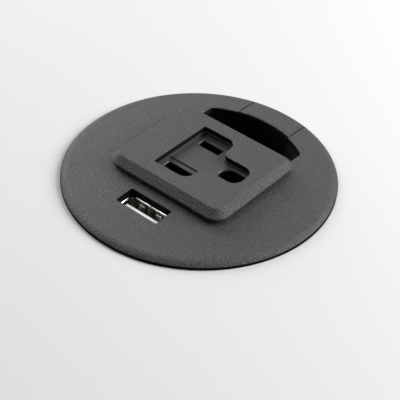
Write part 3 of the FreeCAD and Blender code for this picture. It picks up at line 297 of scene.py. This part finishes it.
# %% [markdown]
# Moulded plastics
# The cover and the block are matt black plastic from a spark-eroded mould. Such a mould leaves a fine, even
# grain, about half a millimetre across, which scatters the light into tiny specks. Two sizes of noise
# make it: a fine one for the grain itself and a broad one for the slight change of gloss over the surface.
# The walls of the openings, the seams beside the gate and the rim's side are drawn deep black as painted
# shade: boxes and a ring in millimetres mark them out for a plain dark shader.

# %% Moulded plastics
GLOSS_PATCH = 9  # how far apart the changes of gloss are, in millimetres
GRAIN_GLOSS, PATCH_GLOSS = 0.12, 0.1  # how much the grain and the patches change the roughness
# painted shade on the walls, seams and rim's side: its share of the colour, its roughness and its specular
WALL_PAINTED_SHADE, WALL_ROUGHNESS, WALL_SPECULAR = 0.16, 0.8, 0.05


def moulded(slot, colour, grain, depth=0.012, roughness=0.45, specular=0.36, speck=0.1,
            shaded_boxes=(), rim=None):
    """Plastic with a grain, lighter and darker by a speck; the boxes and the rim, a radius and a height, get
    painted shade.
    """
    finish = Finish(slot, Specular_IOR_Level=specular)
    fine = finish.noise(grain, detail=3, roughness=0.6)
    broad = finish.noise(GLOSS_PATCH, detail=3)
    skin = finish.mix(fine.smooth(0.3, 0.7), toned(colour, 1 - speck), toned(colour, 1 + speck))
    rough = roughness + (broad - 0.5) * PATCH_GLOSS + (fine - 0.5) * GRAIN_GLOSS
    finish.feed(Base_Color=skin, Roughness=rough)
    finish.bump(fine, depth)
    shade_masks = [finish.within(*box) for box in shaded_boxes]
    if rim:
        shade_masks.append(finish.low_rim(*rim))
    if shade_masks:
        # painted shade: a plain dark shader over the walls, the seams and the rim's side
        painted_shade = sum(shade_masks[1:], shade_masks[0]).clamp()
        finish.blend(painted_shade, toned(colour, WALL_PAINTED_SHADE), WALL_ROUGHNESS, WALL_SPECULAR)


# %% Painted shade on the walls of the openings
# Each box holds the painted shade on the walls of one opening, from its lowest to its highest corner, and
# stops below the skin
DEEP = -20  # below the end of every such wall
USB_WALLS = ((-7.2, -23.5, DEEP), (6.5, -17.4, 2.2))
MOON_STEPS = (15.3, 17.4, 24), (14, 24, 25.6), (11.5, 25.6, 27.6)  # half width, near and far end
MOON_WALLS = [((-side, near, DEEP), (side, far, 1.95)) for side, near, far in MOON_STEPS]
TEE_WALLS = ((-8, -9.2, DEEP), (14.2, 11, 5.9))
SLOT_WALLS = ((-30, -30, -30), (30, 30, 3.5))
# painted shade on the rim's side, where the cover meets the desk
RIM_PAINTED_SHADE = (34, 0.75)  # what lies beyond this radius and below this height

# A seam of painted shade covers the gap beside the gate and a sliver of both its edges
SEAM_HALF, HALF_GAP = 0.16, 0.1
gate_low, gate_high = (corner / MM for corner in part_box("cord_gate"))
gap_middles = gate_low.x - HALF_GAP, gate_high.x + HALF_GAP
PAINTED_SEAMS = [((x - SEAM_HALF, 27, DEEP), (x + SEAM_HALF, 50, 9)) for x in gap_middles]
print("seams at", [round(x, 2) for x in gap_middles], "mm")

# %% Plastics of the record
COVER_BLACK, BLOCK_BLACK, FACE_BLACK = (0.04, 0.0395, 0.042), (0.038, 0.0375, 0.04), (0.038, 0.038, 0.04)
SPARKED = {"grain": 0.5, "depth": 0.36, "speck": 0.5}  # the mould's grain on the cover and the block

# the walls of the openings, the seams and the rim's side get painted shade
moulded("cover_plastic", COVER_BLACK, **SPARKED, shaded_boxes=(USB_WALLS, *MOON_WALLS, *PAINTED_SEAMS), rim=RIM_PAINTED_SHADE)
moulded("block_plastic", BLOCK_BLACK, **SPARKED, shaded_boxes=(TEE_WALLS,))
moulded("face_plastic", FACE_BLACK, grain=0.25, shaded_boxes=(SLOT_WALLS,))
moulded("carrier_plastic", (0.06, 0.06, 0.06), grain=0.6, depth=0.01)
# black plastic, kept darker than the cover partly as painted shade on its inside seen through the half-moon
moulded("barrel_plastic", (0.02, 0.02, 0.021), grain=0.5, roughness=0.6, specular=0.1)
moulded("nut_plastic", (0.05, 0.05, 0.052), grain=0.5, roughness=0.48)
moulded("gland_nylon", (0.045, 0.045, 0.046), grain=0.4, depth=0.006, roughness=0.4, speck=0.08)
moulded("seal_rubber", (0.04, 0.04, 0.04), grain=0.3, depth=0.01, roughness=0.85, specular=0.25)
moulded("tongue_plastic", (0.94, 0.94, 0.92), grain=0.2, depth=0.003, roughness=0.4, speck=0.03)
moulded("chip_plastic", (0.04, 0.04, 0.04), grain=0.15, depth=0.006, roughness=0.7)
print("plastics:", len(Finish.made))

# %% [markdown]
# Metals
# The USB shell is bright plated sheet, the contacts are rolled brass strip, and the washer and screws are
# zinc plated. Each gets the marks of how it was made: rolling lines run one way, and zinc has an even,
# cloudy sheen. The marks only change the gloss and a shallow bump. Deep in the port little light arrives, so
# the shell is given painted shade there.

# %% Metals
CLOUD = 2.5  # how far apart the clouds in the plating are, in millimetres
LINE_GLOSS, CLOUD_GLOSS = 0.15, 0.1  # how much the lines and the clouds change the roughness
# painted shade deep in the USB port
DEEP_PAINTED_SHADE, DEEP_FADE = 0.45, 0.3  # the share of the colour left deep down, and the height of the change


def metal(slot, colour, marks, mark_size, depth, roughness, tarnish=0.15, edge=0.12, shade_below=None):
    """Rolled or plated metal; where a height is given, what lies deeper in the hole gets painted shade."""
    finish = Finish(slot, Metallic=1.0)
    lines = finish.noise(mark_size, detail=3, place=finish.stretched(*marks))
    cloud = finish.noise(CLOUD, detail=4)
    skin = finish.mix(cloud.smooth(0.35, 0.75), colour, toned(colour, 1 - tarnish))
    if shade_below is not None:
        # painted shade: the colour darkens below the given height, where little light reaches
        port_shade = 1 - finish.z.smooth(shade_below - DEEP_FADE, shade_below)
        skin = finish.mix(port_shade, skin, toned(colour, DEEP_PAINTED_SHADE))
    rough = roughness + (lines - 0.5) * LINE_GLOSS + (cloud - 0.5) * CLOUD_GLOSS
    finish.feed(Base_Color=skin, Roughness=rough)
    finish.bump(lines, depth, edge)


# the shell gets painted shade below its lips
metal("shell_metal", (0.97, 0.97, 0.94), marks=(0.15, 1, 1), mark_size=0.2, depth=0.004, roughness=0.24,
      tarnish=0, edge=0.2, shade_below=0.2)
metal("contact_brass", (0.72, 0.55, 0.28), marks=(1, 1, 0.12), mark_size=0.3, depth=0.006, roughness=0.32,
      tarnish=0.3)
metal("plated_contact", (0.8, 0.65, 0.32), marks=(1, 1, 0.2), mark_size=0.2, depth=0.003, roughness=0.2)
metal("screw_steel", (0.62, 0.62, 0.63), marks=(1, 1, 1), mark_size=0.5, depth=0.006, roughness=0.33)
metal("washer_steel", (0.6, 0.61, 0.62), marks=(1, 1, 1), mark_size=0.8, depth=0.01, roughness=0.36)
print("plastics and metals:", len(Finish.made))

# %% [markdown]
# Electrical materials
# Inside the barrel are a circuit board, a pressed fibre sheet, a ferrite core with its taped winding, two
# sleeved capacitors and two insulated wires. They are closed in on the real object, but they are seen when
# the module is taken apart, so each has its own colour and surface.

# %% Circuit board
TRACK_FIELD = 2.6  # millimetres across the fields between the tracks

board = Finish("circuit_board", Specular_IOR_Level=0.5)
cells = board.node("TexVoronoi", {"distance": "CHEBYCHEV", "feature": "DISTANCE_TO_EDGE"},
                   {"Vector": board.place, "Scale": 1 / TRACK_FIELD, "Randomness": 0.8})
track = 1 - cells.smooth(0.1, 0.13)
board.feed(Base_Color=board.mix(track, (0.02, 0.12, 0.05), (0.035, 0.2, 0.085)),
           Roughness=0.28 + board.noise(1.5) * 0.12)
board.bump(track, 0.03)
print("board nodes:", len(board.tree.nodes))

# %% Fibre sheet
fibre = Finish("fibre_sheet")
strands = fibre.noise(0.35, detail=5, roughness=0.7, place=fibre.stretched(0.3, 1, 1))
fibre.feed(Base_Color=fibre.mix(strands.smooth(0.3, 0.7), (0.22, 0.24, 0.27), (0.33, 0.35, 0.38)),
           Roughness=0.8 + strands * 0.1)
fibre.bump(strands, 0.02)
print("fibre nodes:", len(fibre.tree.nodes))

# %% Ferrite core and its tape
YOKE, WRAPS = 2.1, 2.2  # the core's bare height at each end, and the wraps of tape in a millimetre

core = Finish("ferrite")
core_low, core_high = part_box("transformer")
tape_half = (core_high.z - core_low.z) / 2 / MM - YOKE
taped = (core.z - (core_high.z + core_low.z) / 2 / MM).math("ABSOLUTE") < tape_half
grit = core.noise(0.25, detail=4)
wraps = (core.z * WRAPS).math("FRACT").smooth(0.0, 0.12)
bare = core.mix(grit, (0.03, 0.03, 0.032), (0.07, 0.068, 0.065))
tape = core.mix(wraps, (0.5, 0.3, 0.03), (0.75, 0.5, 0.06))
core.feed(Base_Color=core.mix(taped, bare, tape), Roughness=0.75 - taped * 0.4 + grit * 0.1)
core.bump(grit * 0.5 + wraps * taped * 0.5, 0.03)
print("tape covers", round(2 * tape_half, 2), "mm of the core")

# %% Capacitor sleeves
sleeve = Finish("capacitor_sleeve", Specular_IOR_Level=0.5)
wrinkle = sleeve.noise(1.2, detail=2)
sleeve.feed(Base_Color=sleeve.mix(wrinkle, (0.03, 0.035, 0.06), (0.05, 0.055, 0.09)),
            Roughness=0.22 + wrinkle * 0.12)
sleeve.bump(wrinkle, 0.04)
print("sleeve nodes:", len(sleeve.tree.nodes))

# %% Wires
TERMINAL_HIGH = 6.7  # how far the terminal's sleeve reaches down from the lead's top, in millimetres


def wire(slot, colour, lead):
    """Soft insulation, with a plated terminal in a clear sleeve at the top."""
    finish = Finish(slot)
    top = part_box(lead)[1].z / MM
    terminal = finish.z > top - TERMINAL_HIGH
    smear = finish.noise(1.5, detail=3)
    skin = finish.mix(smear, colour, toned(colour, 0.85))
    finish.feed(Base_Color=finish.mix(terminal, skin, (0.6, 0.6, 0.58)), Metallic=terminal * 0.9,
                Roughness=0.42 - terminal * 0.12 + smear * 0.1)
    finish.bump(finish.noise(0.4), 0.006)


wire("line_insulation", (0.035, 0.035, 0.035), "line_lead")
wire("neutral_insulation", (0.75, 0.74, 0.7), "neutral_lead")
print("finishes:", len(Finish.made))

# %% Give each solid its finish
for part in frame["record"]["subparts"]:
    node = nodes[part["node"]]
    node.data.materials.clear()
    node.data.materials.append(Finish.made[part["material_slot"]].material)
missing = {slot["slot"] for slot in frame["record"]["materials"]} - set(Finish.made)
print("slots without a finish:", missing or "none")

# %% [markdown]
# Screw threads
# The barrel and its nut have a coarse moulded thread with a 4 mm pitch. The solids are plain there, so a
# merged copy of each is cut by a groove swept along a right-handed helix. Spin with a step upward makes such
# a sweep. The nut's groove lies half a pitch from the barrel's, where the barrel has its ridge.

# %% Cut pieces from solids
SPLIT, SLIVER = 0.0005 * MM, 0.001 * MM


def solid_copy(name):
    """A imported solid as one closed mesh; the loaded one is split at its sharp edges."""
    mesh = bmesh.new()
    mesh.from_mesh(nodes[name].data)
    bmesh.ops.remove_doubles(mesh, verts=mesh.verts, dist=SPLIT)
    return mesh


def helix(profile, start, turns, pitch, steps=72):
    """A closed profile of (radius, height) in millimetres, swept up a right-handed helix."""
    mesh = bmesh.new()
    corners = [mesh.verts.new((radius * MM, 0, (start + height) * MM)) for radius, height in profile]
    bmesh.ops.spin(mesh, geom=[mesh.faces.new(corners)], cent=(0, 0, 0), axis=(0, 0, 1),
                   dvec=(0, 0, pitch * MM / steps), angle=math.tau * turns, steps=round(steps * turns))
    return mesh


def cut_out(mesh, tool, name):
    """The mesh less the tool, both closed, as a finished piece."""
    block, cutter = finish_piece(mesh, f"{name}_block"), finish_piece(tool, f"{name}_tool")
    boolean = block.modifiers.new("cut", "BOOLEAN")
    boolean.operation, boolean.solver, boolean.object = "DIFFERENCE", "EXACT", cutter
    bpy.context.view_layer.update()
    result = bmesh.new()
    result.from_object(block, bpy.context.evaluated_depsgraph_get())
    for spare in (block, cutter):
        bpy.data.objects.remove(spare)
    bmesh.ops.dissolve_degenerate(result, edges=result.edges, dist=SLIVER)
    return finish_piece(result, name)


def dress(piece, slot, body, *replaced):
    """Gives a piece its finish and its body, and hides the solids that it stands for."""
    piece.data.materials.clear()
    piece.data.materials.append(Finish.made[slot].material)
    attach(piece, body)
    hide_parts(*replaced)


# %% Barrel and nut threads
PITCH, CREST, ROOT = 4, 28.6, 28.05
FLOOR_HALF, MOUTH_HALF = 0.55, 1.3  # half the width of the barrel's groove at its floor and past its crest
NUT_FLOOR_HALF, NUT_DEPTH = 0.6, 0.75
OUTSIDE, INSIDE = 0.25, 0.2  # how far each groove's tool starts out of the solid that it cuts
GROOVE_FOOT, BARREL_TURNS, NUT_TURNS = -41, 6.9, 4.6

outer_groove = [(ROOT, -FLOOR_HALF), (CREST + OUTSIDE, -MOUTH_HALF),
                (CREST + OUTSIDE, MOUTH_HALF), (ROOT, FLOOR_HALF)]
inner_groove = [(CREST - INSIDE, -MOUTH_HALF), (CREST + NUT_DEPTH, -NUT_FLOOR_HALF),
                (CREST + NUT_DEPTH, NUT_FLOOR_HALF), (CREST - INSIDE, MOUTH_HALF)]
barrel_tool = helix(outer_groove, GROOVE_FOOT, BARREL_TURNS, PITCH)
dress(cut_out(solid_copy("barrel"), barrel_tool, "threaded_barrel"), "barrel_plastic", "root", "barrel")
nut_tool = helix(inner_groove, GROOVE_FOOT + PITCH / 2, NUT_TURNS, PITCH)
dress(cut_out(solid_copy("ring_nut"), nut_tool, "threaded_nut"), "nut_plastic", "nut", "ring_nut")

# %% [markdown]
# USB lips
# The mouth of a USB shell has lips that are rolled outward, so that a plug slides in. Their curve looks up
# into the light, which is why the port shows bright lines. A bevel gives it to the inner edges of the solid's
# lips, which are found by their height and their distance from the shell's outside.

# %% USB lips
LIP_ROLL = 0.25 * MM
TOUCH = 0.01 * MM  # what counts as level or in line
OUTER_EDGE = 0.1 * MM  # edges nearer than this to the shell's outside are its outer edges

shell_low, shell_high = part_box("usb_shell")
shell_middle = (shell_low + shell_high) / 2
mesh = solid_copy("usb_shell")
bmesh.ops.dissolve_limit(mesh, angle_limit=math.radians(1), verts=mesh.verts, edges=mesh.edges)
mouth = []
for edge in mesh.edges:
    start, end = (vertex.co - shell_middle for vertex in edge.verts)
    along = end - start
    side = 0 if abs(along.x) < TOUCH else 1
    inset = shell_high[side] - shell_middle[side] - abs(start[side])
    on_top = all(vertex.co.z > shell_high.z - TOUCH for vertex in edge.verts)
    if abs(along[side]) < TOUCH and on_top and inset > OUTER_EDGE:
        mouth.append(edge)
bmesh.ops.bevel(mesh, geom=mouth, affect="EDGES", offset=LIP_ROLL, segments=4, profile=0.5, material=-1,
                clamp_overlap=False)
print("rolled edges:", len(mouth))
dress(finish_piece(mesh, "usb_shell_rolled"), "shell_metal", "root", "usb_shell")

# %% [markdown]
# Screws
# Eleven pan-head screws for plastic hold the pieces together. A screw is turned from one profile, gets a
# cross recess in its head, and a sharp thin thread on a slimmer core. The heads face down, where a
# screwdriver reaches them once the desk side is open.

# %% Screw shapes
HEAD_RADIUS, HEAD_HIGH, CORE, THREAD, THREAD_PITCH = 2.6, 1.7, 0.95, 1.3, 0.9
RECESS_ARM, RECESS_HALF, RECESS_START, RECESS_TOOL, RECESS_TAPER = 1.35, 0.3, 0.2, 1.3, 0.55
POINT = 1.2  # how long the screw's point is


def ring_of(mesh, points, close=True):
    """An edge loop or chain through points in millimetres."""
    spots = [mesh.verts.new(Vector(point) * MM) for point in points]
    pairs = list(zip(spots, spots[1:])) + ([(spots[-1], spots[0])] if close else [])
    return [mesh.edges.new(pair) for pair in pairs]


def cross_recess():
    """A tapered cross that enters the head from below."""
    mesh = bmesh.new()
    quarter = [(RECESS_HALF, -RECESS_HALF), (RECESS_ARM, -RECESS_HALF), (RECESS_ARM, RECESS_HALF)]
    outline = []
    for a in (0, math.pi / 2, math.pi, math.pi * 1.5):
        outline += [(math.cos(a) * x - math.sin(a) * y, math.sin(a) * x + math.cos(a) * y,
                     -HEAD_HIGH - RECESS_START) for x, y in quarter]
    low = bmesh.ops.contextual_create(mesh, geom=ring_of(mesh, outline))["faces"]
    high = bmesh.ops.extrude_face_region(mesh, geom=low)["geom"]
    bmesh.ops.translate(mesh, vec=(0, 0, RECESS_TOOL * MM), verts=only(high, "Vert"))
    bmesh.ops.scale(mesh, vec=(RECESS_TAPER, RECESS_TAPER, 1), verts=only(high, "Vert"))
    return mesh


def screw_mesh(name, length, threaded):
    """One screw with its seat at height 0 and its tip at a length, threaded over its last stretch."""
    # flat end, rounded head, seat with a broken edge, slim core with a point
    profile = [(0, -HEAD_HIGH), (1.6, -HEAD_HIGH), (2.25, -HEAD_HIGH + 0.3), (HEAD_RADIUS, -HEAD_HIGH + 0.9),
               (HEAD_RADIUS, -0.12), (HEAD_RADIUS - 0.12, 0), (CORE, 0),
               (CORE, length - POINT), (0.2, length), (0, length)]
    blank = bmesh.new()
    edges = ring_of(blank, [(radius, 0, height) for radius, height in profile], close=False)
    bmesh.ops.spin(blank, geom=edges + blank.verts[:], cent=(0, 0, 0), axis=(0, 0, 1), angle=math.tau,
                   steps=32, use_merge=True)
    headed = cut_out(blank, cross_recess(), name)
    ridge = helix([(CORE - 0.1, -0.25), (THREAD, -0.04), (THREAD, 0.04), (CORE - 0.1, 0.25)],
                  length - POINT - 0.2 - threaded, threaded / THREAD_PITCH, THREAD_PITCH, steps=20)
    bmesh.ops.recalc_face_normals(ridge, faces=ridge.faces)
    ridge.from_mesh(headed.data)
    bpy.data.objects.remove(headed)
    return ridge


# %% Place the screws
BOSS_X, BOSS_Y, BOSS_CIRCLE = 21.131, 12.2, 24.4
CARRIER_X, CARRIER_Y, BLOCK_Y = 12, 8.4, 0.9
# the seat's and the tip's height, the length of thread, and the places of each kind
SCREWS = {
    "cover_screws": (-10, 0.3, 6.5, [(BOSS_X, BOSS_Y), (-BOSS_X, BOSS_Y),
                                     (-BOSS_X, -BOSS_Y), (BOSS_X, -BOSS_Y)]),
    "housing_screws": (-42, -30, 7.5, [(BOSS_CIRCLE, 0), (-BOSS_CIRCLE, 0), (0, -BOSS_CIRCLE)]),
    "carrier_screws": (-22, 5.3, 8, [(x, BLOCK_Y + y) for x in (-CARRIER_X, CARRIER_X)
                                     for y in (-CARRIER_Y, CARRIER_Y)]),
}
for label, (seat, tip, threaded, spots) in SCREWS.items():
    one = screw_mesh(f"{label}_head", tip - seat, threaded)
    pattern = bpy.data.meshes.new(label)
    one.to_mesh(pattern)
    one.free()
    many = bmesh.new()
    for x, y in spots:
        known = set(many.verts)
        many.from_mesh(pattern)
        added = [vertex for vertex in many.verts if vertex not in known]
        bmesh.ops.translate(many, vec=Vector((x, y, seat)) * MM, verts=added)
    dress(finish_piece(many, f"{label}_piece", recalculate=False), "screw_steel", "root", label)

# %% [markdown]
# Light
# Two large soft lamps stand low, one on the left and one at the far right. The right one lights the block's
# right slope and leaves its front slope dark, as in the picture, and the left one gives the cover's left side
# its sheen. Two weak ones, at the far left and nearly overhead, soften the far rim and the top. One below the
# desk shows the barrel in low views. The world fills the shadows evenly, and cameras and reflections see it
# as a pale studio. The desk is pale to the camera and darker to the lamps, so that it throws little light
# back onto the rim.

# %% Pale surfaces
pale = Finish("pale_desk")
seen = pale.node("LightPath", {}, {}, "Is Camera Ray")
pale.feed(Base_Color=pale.mix(seen, (0.22, 0.22, 0.22), (0.75, 0.75, 0.745)),
          Roughness=0.75 + pale.noise(30) * 0.05)
desk.data.materials.append(pale.material)
print("desk finish:", pale.material.name)

# %% Lamps
LAMP_DISTANCE = 0.6
# azimuth and elevation in degrees, power in watts, and side in metres
LAMPS = {
    "left_lamp": (262, 20, 2.1, 0.35),
    "right_lamp": (132, 30, 5.4, 0.35),
    "far_lamp": (235, 30, 0.4, 0.35),
    "top_lamp": (265, 68, 0.7, 0.2),
    "under_lamp": (20, -35, 4.0, 0.5),
}
for name, (azimuth, elevation, power, size) in LAMPS.items():
    way = direction(azimuth, elevation)
    lamp = bpy.data.objects.new(name, bpy.data.lights.new(name, "AREA"))
    lamp.data.shape, lamp.data.size, lamp.data.energy = "SQUARE", size, power
    lamp.location = way * LAMP_DISTANCE
    lamp.rotation_mode = "QUATERNION"
    lamp.rotation_quaternion = way.to_track_quat("Z", "Y")
    bpy.context.scene.collection.objects.link(lamp)
print("lamps:", ", ".join(LAMPS))

# %% World
world = bpy.data.worlds.new("studio")
bpy.context.scene.world = world
world.use_nodes = True
tree = world.node_tree
tree.nodes.clear()
shown, ambient = tree.nodes.new("ShaderNodeBackground"), tree.nodes.new("ShaderNodeBackground")
shown.inputs["Color"].default_value = (0.95, 0.95, 0.95, 1)
ambient.inputs["Color"].default_value = (1, 1, 1, 1)
ambient.inputs["Strength"].default_value = 0.01
path, blend = tree.nodes.new("ShaderNodeLightPath"), tree.nodes.new("ShaderNodeMixShader")
seen = path.outputs["Is Camera Ray"]
for other in ("Is Glossy Ray", "Is Transmission Ray"):
    either = tree.nodes.new("ShaderNodeMath")
    either.operation = "MAXIMUM"
    tree.links.new(seen, either.inputs[0])
    tree.links.new(path.outputs[other], either.inputs[1])
    seen = either.outputs[0]
tree.links.new(seen, blend.inputs["Fac"])
tree.links.new(ambient.outputs[0], blend.inputs[1])
tree.links.new(shown.outputs[0], blend.inputs[2])
tree.links.new(blend.outputs[0], tree.nodes.new("ShaderNodeOutputWorld").inputs["Surface"])
print("world nodes:", len(tree.nodes))
